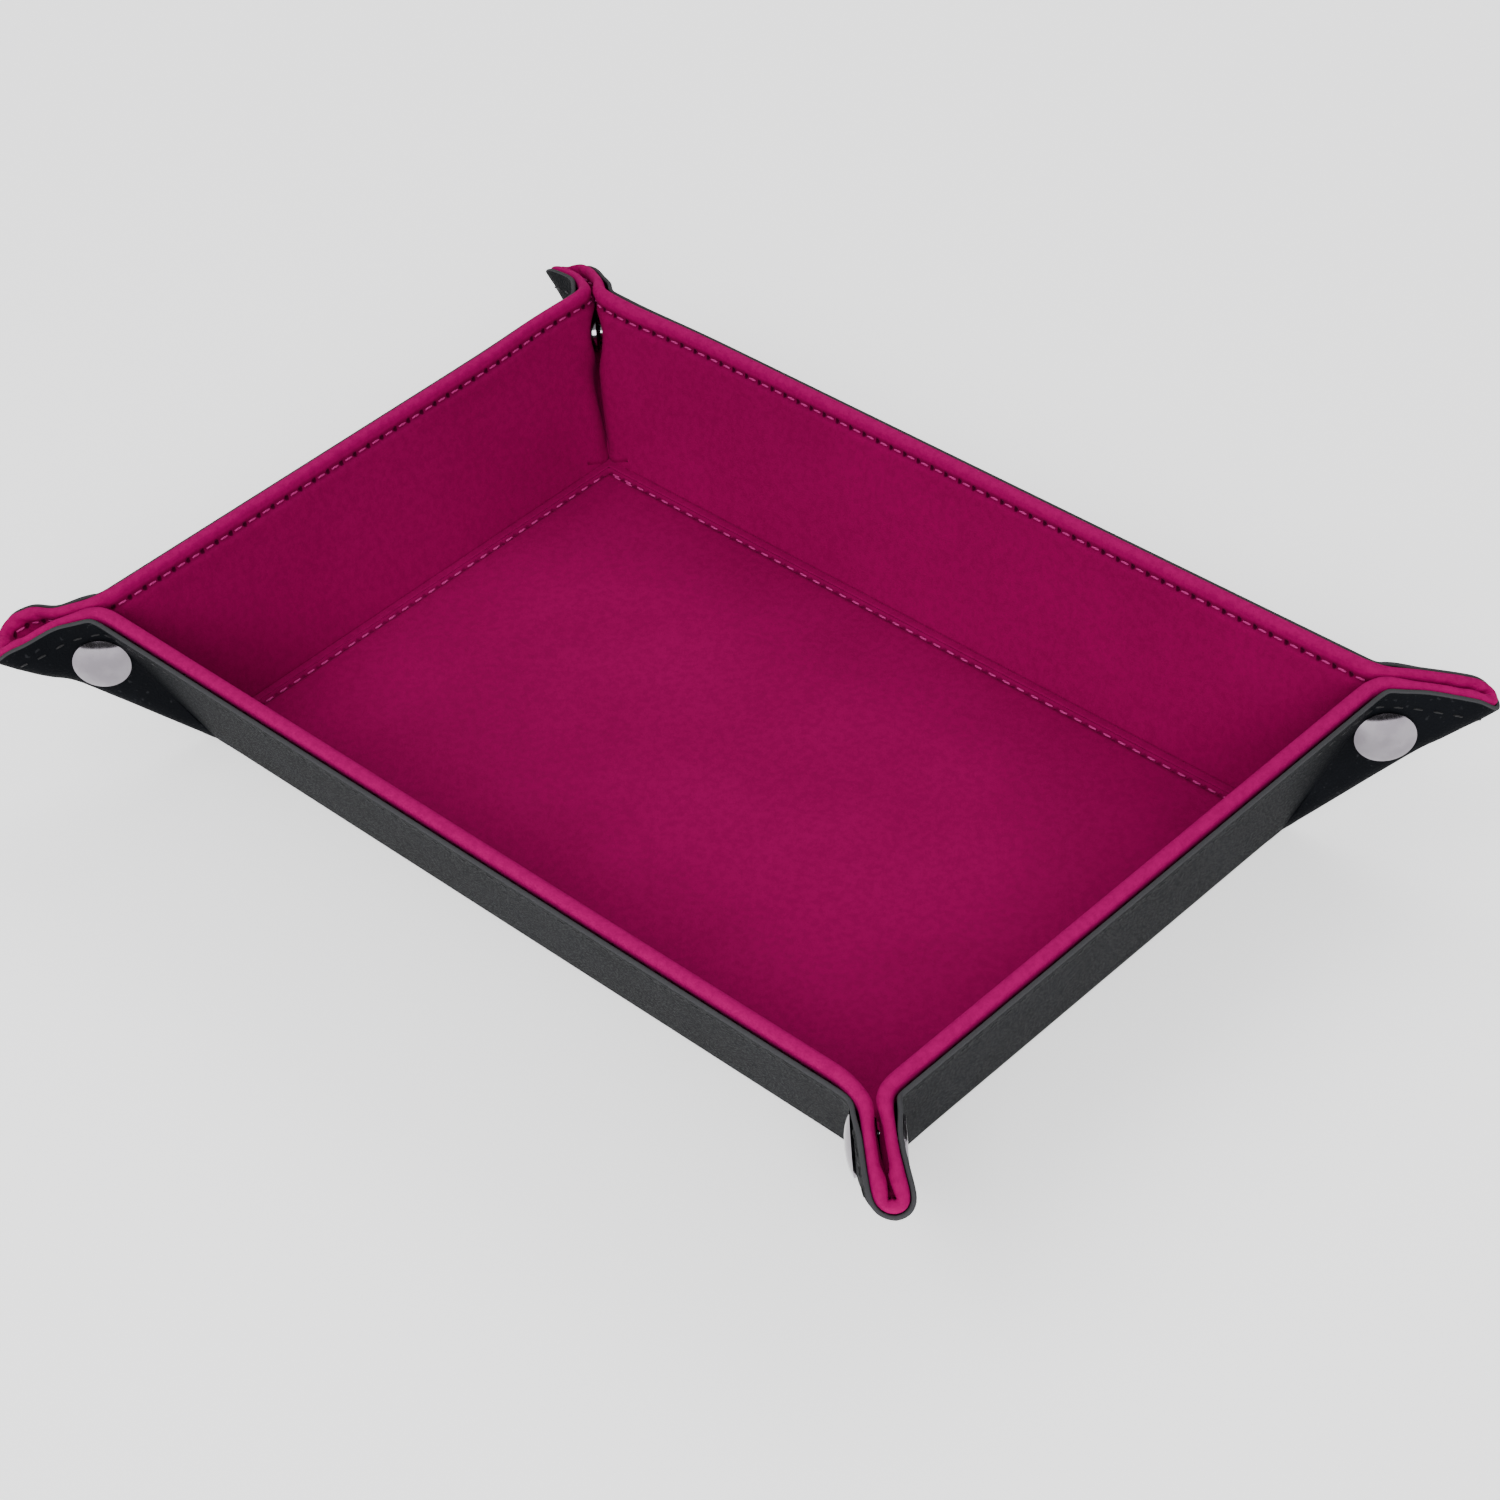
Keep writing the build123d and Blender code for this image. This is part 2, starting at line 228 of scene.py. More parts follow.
# %% [markdown]
# Real padding doesn't crease like paper, so the answer is averaged over a small neighbourhood of
# the point, which rounds every fold by an amount that can be chosen. The neighbourhood is a fixed
# set of points on rings, weighted like a bell curve. Its size grows towards the rim beside the
# ear's fold, where padding curves widely, and shrinks in the tip's loop.

# %% A soft neighbourhood
RINGS = [(0.0, 1, 0.0)] + [(r, 14, 0.22 * i) for i, r in enumerate((0.45, 0.9, 1.35, 1.85, 2.4))]
SAMPLES = np.array([(r * math.cos(2 * math.pi * k / n + o), r * math.sin(2 * math.pi * k / n + o),
                     math.exp(-r * r / 2) * (max(r, 0.12) / n)) for r, n, o in RINGS for k in range(n)])
SAMPLES[:, 2] /= SAMPLES[:, 2].sum()


def softness(a, b, s, p, wide):
    """Radius of the neighbourhood at a flat point."""
    e = np.maximum(b - a, 0) / math.sqrt(2)
    near_fold = np.exp(-((s + 2) / 8.0) ** 2) * ramp((p - 8) / 28)
    tight_foot = 0.45 * np.exp(-(s / 5) ** 2) * (1 - ramp((p - 6) / 24))
    return 1.0 - tight_foot + wide * near_fold - 0.35 * np.exp(-(e / 3) ** 2) * ramp((b - 4) / 6)


print("samples a point", len(SAMPLES))

# %% [markdown]
# Padding also swells and sinks. It is pressed into a pocket round the snap, bulges in the loop of
# the tip, and puckers where the ear squeezes it. The sheet's outer corner is cut round.

# %% Rounded corners and swelling padding
def round_corner(a, b, radius=8.5):
    """Rounds the sheet's outer corner: the last few millimetres of the rows near the rim."""
    r = np.maximum(radius - (RIM - b), 0)
    e = b - a
    k = (r > 0) & (e < r)
    angle = math.pi / 4 * (1 - e / np.maximum(r, 1e-9))
    return np.where(k, b - r + r * np.sin(angle), a), np.where(k, b - r + r * np.cos(angle), b)


def from_snap(s, p):
    return np.hypot(s - SNAP_OUT, p - SNAP_ALONG)


def swell(layer, bulge, a, b, s, p, h):
    """How far the padding swells or sinks beyond its plain thickness: pockets, bulbs and puckers."""
    if layer != "liner":
        return 0.6 * ramp((s - 3) / 6) * ramp((b - 33.5) / 3)
    share = np.clip((h + 0.7) / 2.9, 0, 1) * (h > -0.5)
    e = np.maximum(b - a, 0) / math.sqrt(2)
    pocket = -2.1 * (1 - ramp((from_snap(s, p) - 4.7) / 3.0))
    thin = -0.8 * ramp((s - 1) / 6) * ramp((b - 33) / 3)
    bulb, fold_depth = bulge
    loop = bulb * np.exp(-((e - 5.5) / 2.2) ** 2) * ramp((b - 29) / 6) * ramp((s - 9) / 5)
    creased = fold_depth * np.cos(2 * math.pi * e / 3.4) * np.exp(-(e / 9) ** 2) * ramp((b - 24) / 9)
    return share * (pocket + thin + loop + creased * ramp((s - 8) / 5))


def settle(at, free, ear, start=15.5, reach=26.0):
    """Lets an ear's end swing aside and sink, and the top of its corner lean, round a still snap."""
    r = (at[:, 0] + at[:, 1]) / math.sqrt(2)
    t = free * np.clip((r - start) / reach, 0, 1.2) ** 2
    near_corner = np.exp(-(np.hypot(at[:, 0], at[:, 1]) / 14) ** 2)
    across = ear.aside * t + free * ear.lean * ramp(at[:, 2] / 36) * near_corner
    moved = at.copy()
    moved[:, 0] += across / math.sqrt(2)
    moved[:, 1] -= across / math.sqrt(2)
    moved[:, 2] -= ear.down * t * ramp((at[:, 2] - 4) / 18)
    return moved


print("round corner takes", round(float(RIM - round_corner(np.array([RIM]), np.array([RIM]))[0][0]), 2), "mm")

# %% [markdown]
# No two ears of a soft tray settle alike. One closes tightly, one gapes at its rim, one has fallen
# open past its snap, and each leans its own way. An ear is described by how far its two halves
# stand apart, how widely the two walls curve into it, how far its end swings aside and sinks, how
# far its corner leans, and how the padding bulges and puckers.

# %% Four ears
def slit(s, p, gap):
    """The gap under the snap that shows its metal from inside the tray."""
    return gap * ramp(s / 3) * (1 - ramp((s - 5) / 4)) * np.exp(-((p - 20) / 10) ** 2)


def tight(s, p, swap):
    return 0.2 * ramp((s - 9) / 9)


def lipped(s, p, swap):
    return 0.35 * ramp((s - 9) / 11) * ramp((p - 25) / 14) + slit(s, p, 0.5)


def gaping(s, p, swap):
    return np.where(swap, 4.4, 2.2) * ramp((s - 8) / 8) * ramp((p - 29) / 12)


def fallen_open(s, p, swap):
    return 0.9 * ramp((s - 8.5) / 9) * ramp((p - 27) / 12) + slit(s, p, 1.4)


Ear = namedtuple("Ear", "opening curve aside down lean bulge")
EARS = {(1, -1): Ear(lipped, (3.6, 0.9), 2.2, 0.6, 0.0, (0.8, 0.1)),
        (-1, -1): Ear(gaping, (1.6, 2.2), -1.0, 3.2, 0.0, (0.2, 0.5)),
        (1, 1): Ear(tight, (1.8, 1.4), 0.0, 2.8, 0.0, (0.1, 0.3)),
        (-1, 1): Ear(fallen_open, (1.4, 1.8), 9.0, 3.6, 3.6, (0.2, 0.35))}
print("ears", [ear.opening.__name__ for ear in EARS.values()])

# %% [markdown]
# One function folds every piece and every stitch, so that nothing can drift apart. Close to the
# snap an ear is held still, and only farther out is it free to settle.

# %% Folding the sheet
HELD_WITHIN, FREE_OVER = 5.5, 5.5


def fold_corner(x, y, h, layer, ear):
    """Folds the flat points of one corner, with x and y counted outward from the floor's corner."""
    swap = x > y
    a, b = round_corner(np.minimum(x, y), np.maximum(x, y))
    x, y = np.where(swap, b, a), np.where(swap, a, b)
    s, p = ear_place(a, b)
    if layer != "plain":
        h = h + swell(layer, ear.bulge, a, b, s, p, h)
    wide = np.where(swap, ear.curve[1], ear.curve[0]) * (0.4 if layer == "cover" else 1.0)
    size = softness(a, b, s, p, wide)
    place, facing = np.zeros((len(x), 3)), np.zeros((len(x), 3))
    for dx, dy, share in SAMPLES:
        at, face = paper_corner(x + dx * size, y + dy * size, ear.opening)
        place += share * at
        facing += share * face
    facing /= np.linalg.norm(facing, axis=1)[:, None]
    return settle(place + facing * h[:, None], ramp((from_snap(s, p) - HELD_WITHIN) / FREE_OVER), ear)


def fold(points, layer="plain"):
    """Flat points (x, y, h) of the whole sheet, in millimetres, as places on the folded tray."""
    points = np.array(points, float)
    out = np.zeros_like(points)
    for (sx, sy), ear in EARS.items():
        mine = ((points[:, 0] >= 0) == (sx > 0)) & ((points[:, 1] >= 0) == (sy > 0))
        if mine.any():
            x, y, h = np.abs(points[mine, 0]) - CREASE_X, np.abs(points[mine, 1]) - CREASE_Y, points[mine, 2]
            at = fold_corner(x, y, h, layer, ear)
            out[mine] = np.column_stack([sx * (CREASE_X + at[:, 0]), sy * (CREASE_Y + at[:, 1]),
                                         BEND_Z + at[:, 2]])
    return out


print("middle of the front rim", fold([(0, -CREASE_Y - RIM, 0)]).round(2).tolist())

# %% [markdown]
# ## Cutting the sheet where it moves
# The tray also lies flat when its snaps are opened, so the sheet is cut into pieces along lines
# where the pieces move alike: floor, wall, the fold of each ear, and each ear half with its loop.
# The cuts have the same points on both sides.

# %% Cut lines
CUT_S, FLOOR_CUT = 5.0, 3.3


def cut_a(b, s):
    """Distance along the crease where the line at distance s from the ear's fold crosses height b."""
    return -FOLD_BACK + (s + b * math.sin(EAR_LEAN)) / math.cos(EAR_LEAN)


def cut_a_diagonal(s):
    """Where the line at distance s from the ear's fold meets the diagonal."""
    return (s - FOLD_BACK * math.cos(EAR_LEAN)) / (math.cos(EAR_LEAN) - math.sin(EAR_LEAN))


CUT_V = cut_a_diagonal(CUT_S)
LOW = np.linspace(0, CUT_V, 9)
ROWS = np.unique(np.round(np.concatenate([[CUT_V], np.arange(CUT_V + 1.1, 30, 1.15),
                                          np.arange(30, RIM - 3.4, 0.6)]), 4))
BELOW = np.concatenate([np.linspace(-FLOOR_CUT, 0, 7)[:-1], LOW[:-1]])


def half_end(b):
    """End of a wall piece at height b, measured from the base corner."""
    a_top = cut_a(CUT_V, -CUT_S)
    return np.where(b >= CUT_V, cut_a(b, -CUT_S), np.where(b > 0, a_top * b / CUT_V, b))


print("rows", len(ROWS), "diagonal cut", round(CUT_V, 3), "wall ends", round(float(half_end(RIM)), 3))

# %% [markdown]
# A profile is a list of (row height, distance from the bend line). For the liner it climbs the
# velvet, dips where the seam pulls it down, swells over the foam, rolls over the rim and goes back
# underneath. For the cover it climbs the leather and turns in over a thin edge.

# %% Profiles of the liner and the cover
STITCH_V = 35.7
SEAM_ROWS = (35.1, 35.45, 35.7, 35.95, 36.3)
ROLL_R, ROLL_TOP = 1.55, 0.75
EDGE_R, EDGE_TOP, EDGE_THIN = 0.48, 0.2, 0.35


def velvet_height(v):
    """Height of the velvet over the bend line, up the wall."""
    seam = -0.55 * np.exp(-((v - STITCH_V) / 0.8) ** 2)
    crown = 0.12 * ramp((v - 30) / 5)
    crease = -0.45 * np.exp(-((v - 0.2) / 0.9) ** 2)
    return VELVET_H + seam + crown + crease


def liner_profile(rows):
    rows = [v for v in rows if v < RIM - 3.3]
    up = [(v, float(velvet_height(v))) for v in (*rows, *SEAM_ROWS)]
    centre_v, centre_h = RIM + ROLL_TOP - ROLL_R, VELVET_H + 0.2 - ROLL_R
    for t in np.linspace(-0.15, math.pi, 13):
        up.append((centre_v + ROLL_R * math.sin(t), centre_h + ROLL_R * math.cos(t)))
    down = [(36.0, centre_h - ROLL_R), (34.0, centre_h - ROLL_R)]
    return up, down + [(v, LINER_UNDER) for v in reversed(rows) if v < 31.5]


def cover_profile(rows):
    rows = [v for v in rows if v < RIM - 1.2]
    up = [(v, LEATHER_H - EDGE_THIN * float(ramp((v - 33) / 5))) for v in rows]
    centre_v, centre_h = RIM + EDGE_TOP - EDGE_R, LEATHER_H - EDGE_THIN + EDGE_R
    for t in np.linspace(0, math.pi, 9):
        up.append((centre_v + EDGE_R * math.sin(t), centre_h - EDGE_R * math.cos(t)))
    down = [(36.6, centre_h + EDGE_R), (35.4, LEATHER_IN - 0.25)]
    return up, down + [(v, LEATHER_IN) for v in reversed(rows) if v < 34.5]


print("profile points", [sum(len(part) for part in f(ROWS)) for f in (liner_profile, cover_profile)])

# %% [markdown]
# All pieces are grids: profile rows by columns of flat points. Each end of a grid is closed by a
# strip of triangles. A cut edge gets its shading from the fold itself and not from its own faces,
# so that the pieces on both sides of it shade as one.

# %% Closing and shading the ends of a grid
def cap_faces(v, up_count, cols, column):
    """Closes one side of a skin: a strip of triangles between its face and its underside."""
    i, j, faces = 0, len(v) - 1, []
    while i < up_count - 1 or j > up_count:
        if j <= up_count or (i < up_count - 1 and v[i + 1] <= v[j - 1]):
            faces.append((i * cols + column, (i + 1) * cols + column, j * cols + column))
            i += 1
        else:
            faces.append((i * cols + column, (j - 1) * cols + column, j * cols + column))
            j -= 1
    return faces


def seam_normals(grid, place, layer, column, along, mirror):
    """Directions of a cut edge that are the same for the pieces on both sides of it."""
    edge = grid[:, column]
    if mirror is None:
        across = fold(edge + along * 0.3, layer) - fold(edge - along * 0.3, layer)
    else:
        across = fold(edge, layer) - fold(grid[:, column - 1], layer)
    up = np.roll(place[:, column], -1, 0) - np.roll(place[:, column], 1, 0)
    normal = np.cross(across, up)
    if mirror is not None:
        normal -= (normal @ mirror)[:, None] * mirror
    return normal / np.maximum(np.linalg.norm(normal, axis=1)[:, None], 1e-9)


print("triangles that close one end", len(cap_faces(np.array([0, 1, 2, 2, 1, 0]), 3, 2, 0)))

# %% [markdown]
# Small helpers follow. The flat place of every point goes into a UV map, where the finishes will
# look for the rows of stitches. A skin is shaded smooth, except for its hidden ends.

# %% Helpers that finish a mesh
UV_SIZE = 0.003


def lay_flat_uv(mesh, flat):
    """Keeps each point's place on the flat sheet as a UV map."""
    spots = np.zeros(len(mesh.loops), int)
    mesh.loops.foreach_get("vertex_index", spots)
    uv = mesh.uv_layers.new(name="flat")
    uv.data.foreach_set("uv", (flat[spots, :2] * UV_SIZE + 0.5).ravel())


def put(name, mesh):
    piece = bpy.data.objects.new(name, mesh)
    bpy.context.scene.collection.objects.link(piece)
    return piece


def smooth_with_seams(mesh):
    """Shades a skin smooth, except for its hidden sides, and lets the shading run over the cuts."""
    cap = np.zeros(len(mesh.polygons), int)
    mesh.attributes["cap"].data.foreach_get("value", cap)
    mesh.polygons.foreach_set("use_smooth", cap == 0)
    kept = np.zeros(len(mesh.vertices) * 3, np.float32)
    mesh.attributes["seam"].data.foreach_get("vector", kept)
    spots = np.zeros(len(mesh.loops), int)
    mesh.loops.foreach_get("vertex_index", spots)
    sizes = np.zeros(len(mesh.polygons), int)
    mesh.polygons.foreach_get("loop_total", sizes)
    face = np.repeat(np.arange(len(sizes)), sizes)
    normals = np.zeros(len(mesh.polygons) * 3)
    mesh.polygons.foreach_get("normal", normals)
    normals = normals.reshape(-1, 3)[face]
    chosen = kept.reshape(-1, 3)[spots]
    chosen *= np.where((chosen * normals).sum(1) < 0, -1.0, 1.0)[:, None]
    chosen[cap[face] == 1] = 0
    mesh.attributes.remove(mesh.attributes["cap"])
    mesh.attributes.remove(mesh.attributes["seam"])
    mesh.update()
    mesh.normals_split_custom_set(chosen.tolist())


print("one millimetre is", UV_SIZE, "of the flat UV map")

# %% [markdown]
# `shell` turns a grid into a piece. A mirror is the direction across the plane where the two halves
# of an ear meet, for the end of the grid that lies on that plane.

# %% A grid of flat points as a closed, folded piece
def shell(name, grid, up_count, layer, along, mirror=None):
    """Makes a closed mesh from profile rows x columns of flat points, and folds it."""
    rows, cols = grid.shape[:2]
    place = fold(grid.reshape(-1, 3), layer).reshape(grid.shape)
    faces = []
    for j in range(rows):
        k = (j + 1) % rows
        faces += [(j * cols + i, j * cols + i + 1, k * cols + i + 1, k * cols + i) for i in range(cols - 1)]
    skin = len(faces)
    outward = 1 if along[0] else 0
    for column in (0, cols - 1):
        faces += cap_faces(np.abs(grid[:, column, outward]), up_count, cols, column)
    mesh = bpy.data.meshes.new(name)
    mesh.from_pydata((place.reshape(-1, 3) * MM).tolist(), [], faces)
    lay_flat_uv(mesh, grid.reshape(-1, 3))
    kept = np.zeros((rows, cols, 3), np.float32)
    for column, plane in ((0, None), (cols - 1, mirror)):
        kept[:, column] = seam_normals(grid, place, layer, column, np.array(along, float), plane)
    mesh.attributes.new("seam", "FLOAT_VECTOR", "POINT").data.foreach_set("vector", kept.ravel())
    mesh.attributes.new("cap", "INT", "FACE").data.foreach_set("value", np.arange(len(faces)) >= skin)
    work = bmesh.new()
    work.from_mesh(mesh)
    bmesh.ops.remove_doubles(work, verts=work.verts, dist=2e-6)
    bmesh.ops.recalc_face_normals(work, faces=work.faces)
    work.to_mesh(mesh)
    work.free()
    smooth_with_seams(mesh)
    return put(name, mesh)


print("meshes so far", len(bpy.data.meshes))

# %% [markdown]
# Four walls share one recipe. `wall_point` turns a place on a wall, along its crease and up its
# face, into a flat point of the whole sheet. A half ear is named after its corner and after the
# long or the short wall that it hangs on.

# %% The four walls
WALLS = {"front": ("y", -1), "right": ("x", 1), "back": ("y", 1), "left": ("x", -1)}
ALONG = {"y": (1, 0, 0), "x": (0, 1, 0)}


def wall_point(wall, u, v, h):
    axis, sign = WALLS[wall]
    out = np.zeros(u.shape + (3,))
    if axis == "y":
        out[..., 0], out[..., 1] = u, sign * (CREASE_Y + v)
    else:
        out[..., 0], out[..., 1] = sign * (CREASE_X + v), u
    out[..., 2] = h
    return out


def half_length(wall):
    return CREASE_X if WALLS[wall][0] == "y" else CREASE_Y


def outward(wall):
    """Direction out from the tray over a wall, and how far out its crease is, in metres."""
    axis, sign = WALLS[wall]
    if axis == "y":
        return Vector((0, sign, 0)), CREASE_Y * MM
    return Vector((sign, 0, 0)), CREASE_X * MM


def half_name(wall, side):
    if WALLS[wall][0] == "y":
        return f"{wall}_{'right' if side > 0 else 'left'}_long"
    return f"{'back' if side > 0 else 'front'}_{wall}_short"


print("half ears", [half_name(wall, side) for wall in WALLS for side in (1, -1)])

# %% [markdown]
# The three kinds of grid: a wall between its two cuts, the strip over an ear's fold, and an ear
# half from its cut to the diagonal, with the loop of the tip.

# %% Grids of flat points
def flat_grid(wall, u, v, line):
    return wall_point(wall, u, v, np.repeat(line[:, 1:2], u.shape[1], 1))


def wall_grid(wall, profile, columns):
    line = np.array(profile[0] + profile[1])
    end = half_length(wall) + half_end(line[:, 0])
    u = end[:, None] * np.linspace(-1, 1, columns)[None, :]
    return flat_grid(wall, u, np.repeat(line[:, 0:1], columns, 1), line)


def fold_grid(wall, side, profile, columns=21):
    """The strip of the ear's fold: from the wall's cut to the ear's cut."""
    line = np.array(profile[0] + profile[1])
    r = (line[:, 0] - CUT_V) / (RIM - CUT_V)
    low = list(zip(half_end(LOW[::-1]), LOW[::-1]))
    n = columns - len(low)
    low += [(CUT_V * k / n, CUT_V * k / n) for k in range(1, n + 1)]
    low = np.array(low)
    c = np.linspace(0, 1, columns)
    top = np.column_stack([cut_a(RIM, -CUT_S) + (cut_a(RIM, CUT_S) - cut_a(RIM, -CUT_S)) * c,
                           np.full(columns, RIM)])
    a = (1 - r)[:, None] * low[None, :, 0] + r[:, None] * top[None, :, 0]
    b = (1 - r)[:, None] * low[None, :, 1] + r[:, None] * top[None, :, 1]
    return flat_grid(wall, side * (half_length(wall) + a), b, line)


def tip_grid(wall, side, profile, columns=26):
    """An ear half from its cut to the diagonal, with the loop of the tip."""
    line = np.array(profile[0] + profile[1])
    c = 1 - (1 - np.linspace(0, 1, columns)) ** 1.35
    a0 = cut_a(line[:, 0], CUT_S)
    a = a0[:, None] + (line[:, 0] - a0)[:, None] * c[None, :]
    return flat_grid(wall, side * (half_length(wall) + a), np.repeat(line[:, 0:1], columns, 1), line)


print("front wall grid", wall_grid("front", liner_profile(ROWS), 3).shape)

# %% [markdown]
# ## The velvet liner and the leather cover
# Each piece is one closed skin, so it has a real thickness at the rim. Before it is made, the lines
# that it is cut along on the flat sheet give its flat size. The leather is a folded sheet, and the
# velvet on its foam is padding.

# %% Flat sizes, and the lists of pieces
made = {"liner": [], "cover": []}


def flat_cut(grid, up_count):
    """Width, length and area of a piece's face while it lies flat, in metres and square metres."""
    rim = np.concatenate([grid[:up_count, 0], grid[up_count - 1, 1:], grid[:up_count, -1][::-1][1:],
                          grid[0, ::-1][1:]])[:, :2] * MM
    x, y = rim[:, 0], rim[:, 1]
    area = abs((x * np.roll(y, -1) - y * np.roll(x, -1)).sum()) / 2
    return tuple(float(v) for v in np.ptp(rim, axis=0)), float(area)


def declare(piece, layer, flat, area):
    """Adds a piece to the list of its layer. The leather is a folded sheet, the velvet on its foam is
    padding.
    """
    made[layer].append(piece)


print("a wall's flat cut", flat_cut(wall_grid("front", cover_profile(ROWS), 3), len(cover_profile(ROWS)[0])))

# %% [markdown]
# For a half ear, `ear_frame` works out where it starts to turn and where it has turned, at its fold and at
# its tip.

# %% Where the ears bend
EAR_BEND = 4


def ear_frame(wall, side):
    """Where an ear half starts to turn and where it has turned, at its fold and at its tip."""
    out, reach = outward(wall)
    along = Vector(ALONG[WALLS[wall][0]]) * side
    mirror = Matrix((along, out, Vector((0, 0, 1)))).transposed()
    corner_at = along * (half_length(wall) * MM) + out * reach + Vector((0, 0, BEND_Z * MM))
    back = Vector((FOLD_BACK * MM, 0, 0))
    hinge = corner_at + mirror @ (Vector(FOLD_LINE) * 0.02 - back)
    s, p = ear_place(20 - ARC / math.sqrt(2), 20 + ARC / math.sqrt(2))
    foot = corner_at + mirror @ ((Vector(EAR_OUT) * s + Vector(FOLD_LINE) * p) * MM - back)
    past = foot + mirror @ Vector(TO_TIP) * (MIRROR_H * MM)
    before = hinge - mirror @ Vector(FLAT_OUT) * EAR_BEND * MM
    return before, hinge + mirror @ Vector(EAR_OUT) * EAR_BEND * MM, foot, past


print("front right ear turns over", [tuple(round(v, 4) for v in at) for at in ear_frame("front", 1)])

# %% [markdown]
# Now the skins of the walls, the folds and the ears are made, first in velvet and then in leather.

# %% Walls, folds and ears
PROFILES = {"liner": liner_profile, "cover": cover_profile}
COLUMN_WIDTH = {"liner": 0.9, "cover": 1.4}


def make_wall(wall, layer):
    line = PROFILES[layer](np.concatenate([BELOW, ROWS]))
    columns = 2 * int(half_length(wall) / COLUMN_WIDTH[layer]) + 1
    grid = wall_grid(wall, line, columns)
    piece = shell(f"{wall}_wall_{layer}", grid, len(line[0]), layer, ALONG[WALLS[wall][0]])
    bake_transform(piece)
    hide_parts(f"{wall}_{layer}")
    declare(piece, layer, *flat_cut(grid, len(line[0])))


def make_half_ear(wall, side, layer):
    name = half_name(wall, side)
    axis, sign = WALLS[wall]
    line = PROFILES[layer](ROWS)
    grid = fold_grid(wall, side, line)
    piece = shell(f"{name}_fold_{layer}", grid, len(line[0]), layer, ALONG[axis])
    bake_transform(piece)
    declare(piece, layer, *flat_cut(grid, len(line[0])))
    sx, sy = (side, sign) if axis == "y" else (sign, side)
    plane = np.array([sx, -sy, 0]) / math.sqrt(2)
    grid = tip_grid(wall, side, line)
    piece = shell(f"{name}_ear_{layer}_skin", grid, len(line[0]), layer, ALONG[axis], plane)
    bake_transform(piece)
    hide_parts(f"{name}_ear_{layer}", f"{name}_tip_strip")
    declare(piece, layer, *flat_cut(grid, len(line[0])))


for layer in PROFILES:
    for wall in WALLS:
        make_wall(wall, layer)
        for side in (1, -1):
            make_half_ear(wall, side, layer)
print("skins", {k: len(v) for k, v in made.items()})

# %% [markdown]
# The floor of the tray has no folds, so its two skins are plain slabs.

# %% A slab
def slab(name, x, y, top, under):
    """A closed slab over a grid of flat lines, its top and underside at the given heights."""
    gx, gy = np.meshgrid(x, y)
    n, cols = gx.size, len(x)
    up = np.column_stack([gx.ravel(), gy.ravel(), BEND_Z + top(gx, gy).ravel()])
    down = np.column_stack([gx.ravel(), gy.ravel(), np.full(n, BEND_Z + under)])
    faces = []
    for j in range(len(y) - 1):
        for i in range(cols - 1):
            q = (j * cols + i, j * cols + i + 1, (j + 1) * cols + i + 1, (j + 1) * cols + i)
            faces += [q, tuple(n + v for v in reversed(q))]
    edge = [i for i in range(cols)] + [j * cols + cols - 1 for j in range(1, len(y))]
    edge += [n - 1 - i for i in range(1, cols)] + [j * cols for j in range(len(y) - 2, 0, -1)]
    skin = len(faces)
    faces += [(k, edge[i - 1], n + edge[i - 1], n + k) for i, k in enumerate(edge)]
    mesh = bpy.data.meshes.new(name)
    mesh.from_pydata((np.vstack([up, down]) * MM).tolist(), [], faces)
    lay_flat_uv(mesh, np.vstack([up, down]))
    mesh.polygons.foreach_set("use_smooth", np.arange(len(faces)) < skin)
    piece = put(name, mesh)
    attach(piece, "base")
    return piece


print("slabs lie between", BEND_Z + LEATHER_H, "and", BEND_Z + VELVET_H, "mm")

# %% [markdown]
# The velvet slab is finer near the sewn rectangle, where the thread pulls the foam down.

# %% The floor's liner and cover
BASE_ROW = 4.6
half_x, half_y = CREASE_X - FLOOR_CUT, CREASE_Y - FLOOR_CUT


def floor_lines(half):
    row = half + FLOOR_CUT - BASE_ROW
    near = np.array([-1.9, -1.3, -0.9, -0.55, -0.25, 0, 0.25, 0.55, 0.9])
    side = np.concatenate([np.linspace(0, row - 3.0, int(row / 2.2)), row + near, [half]])
    return np.concatenate([-side[:0:-1], side])


def cushion(x, y):
    """Height of the floor's velvet: sewn down along a rectangle, a little full inside it."""
    inset = np.minimum(CREASE_X - np.abs(x), CREASE_Y - np.abs(y))
    seam = -0.6 * np.exp(-((inset - BASE_ROW) / 0.75) ** 2)
    full = 0.22 * ramp((inset - BASE_ROW) / 6) - 0.1 * ramp((inset - 20) / 30)
    full += 0.10 * np.sin(x / 17 + 0.8) * np.sin(y / 13 + 0.3) * ramp((inset - 10) / 15)
    return VELVET_H + seam + np.where(inset > BASE_ROW, full, 0)


floor_flat, floor_area = (2 * half_x * MM, 2 * half_y * MM), 4 * half_x * half_y * MM * MM
piece = slab("floor_liner", floor_lines(half_x), floor_lines(half_y), cushion, LINER_UNDER)
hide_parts("base_liner")
declare(piece, "liner", floor_flat, floor_area)
piece = slab("floor_cover", np.linspace(-half_x, half_x, 31), np.linspace(-half_y, half_y, 21),
             lambda x, y: LEATHER_IN + 0 * x, LEATHER_H)
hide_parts("base_cover")
declare(piece, "cover", floor_flat, floor_area)
print("floor pieces", made["liner"][-1].name, made["cover"][-1].name)

# %% [markdown]
# ## The sewing
# One stitch is modelled and copied along every row: a small ball, pulled out to a capsule. The rim
# seam shows as a pink thread on the velvet and as a black one on the leather; the floor's rectangle
# is pink.

